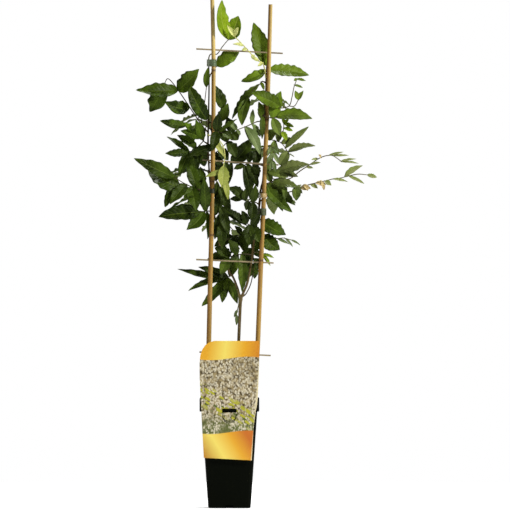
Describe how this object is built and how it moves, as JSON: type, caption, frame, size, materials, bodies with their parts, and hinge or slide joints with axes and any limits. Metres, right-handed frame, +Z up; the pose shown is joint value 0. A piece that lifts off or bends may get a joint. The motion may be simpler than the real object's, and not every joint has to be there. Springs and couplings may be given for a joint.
{
  "type": "potted chinese wisteria",
  "caption": "Young climbing vine with feathered compound leaves, tied to a bamboo ladder in a tall square nursery pot with a plant card on its rim.",
  "frame": {"origin": "middle of the pot's base, on the surface it stands on", "axes": "+Z up along the canes, -Y towards the front, where the plant card hangs, +X to the viewer's right"},
  "size_m": [0.4861, 0.2072, 1.0181],
  "materials": {
    "pot_plastic": "near-black moulded pot plastic, satin",
    "soil_mix": "dark peat and bark potting mix",
    "card_print": null,
    "bamboo": "peeled tan bamboo with a pale side",
    "split_stick": "thin split bamboo stick",
    "clip_green": "grey-green soft plastic clip",
    "clip_clear": "cloudy pale plastic clip",
    "tie_dark": "dark green tube tie",
    "bark": "thin brown bark, greener toward the tips",
    "leaf_dark": "dark green leaflets, faintly glossy, with pale ribs",
    "leaf_mid": "mid green leaflets, faintly glossy, with pale ribs",
    "leaf_light": "light green leaflets, matt underside",
    "leaf_young": "young yellow-green leaflets and shoots",
    "leaf_pale": "pale yellow-green young leaves"
  },
  "bodies": {
    "root": {"pot": "pot_plastic", "soil": "soil_mix", "plant_card": "card_print", "cane_left": "bamboo", "cane_right": "bamboo", "rung_top": "split_stick", "rung_upper": "split_stick", "rung_lower": "split_stick", "rung_bottom": "split_stick", "clip_left_top": "clip_green", "tie_left": "tie_dark", "clip_right_upper": "clip_clear", "clip_right_low": "clip_green", "vine": "bark", "leaf_top_left": "leaf_young", "leaf_left_top": "leaf_mid", "leaf_left_high": "leaf_mid", "leaf_left_fan": "leaf_mid", "leaf_left_mid": "leaf_mid", "leaf_left_low": "leaf_mid", "leaf_bottom_left": "leaf_dark", "leaf_low_centre": "leaf_dark", "leaf_low_right": "leaf_mid", "leaf_centre_low": "leaf_dark", "leaf_centre_drop": "leaf_dark", "leaf_pale_centre": "leaf_pale", "leaf_high_behind": "leaf_dark", "leaf_front_left": "leaf_dark", "leaf_centre_high": "leaf_dark", "leaf_centre_gap": "leaf_dark", "leaf_centre_right": "leaf_dark", "leaf_inner_low": "leaf_dark", "leaf_inner_base": "leaf_dark", "leaf_right_top": "leaf_mid", "leaf_right_droop": "leaf_dark", "leaf_right_front": "leaf_mid", "leaf_inner_right": "leaf_light", "leaf_right_mid": "leaf_mid", "leaf_right_level": "leaf_mid", "leaf_right_low": "leaf_mid", "leaf_right_drop": "leaf_mid", "shoot_right_top": "leaf_young", "shoot_right_tuft": "leaf_young", "shoot_right_fern": "leaf_light", "shoot_right_long": "leaf_young", "shoot_right_level": "leaf_young", "shoot_right_low": "leaf_light", "tuft_right_low": "leaf_young", "shoot_top_pale": "leaf_pale", "shoot_at_trunk": "leaf_light", "leaf_rear_left_high": "leaf_mid", "leaf_rear_left_mid": "leaf_mid", "leaf_rear_left_low": "leaf_mid", "leaf_rear_centre": "leaf_mid", "leaf_rear_high": "leaf_mid", "leaf_rear_right_mid": "leaf_mid", "leaf_rear_right_low": "leaf_mid"}
  },
  "joints": []
}
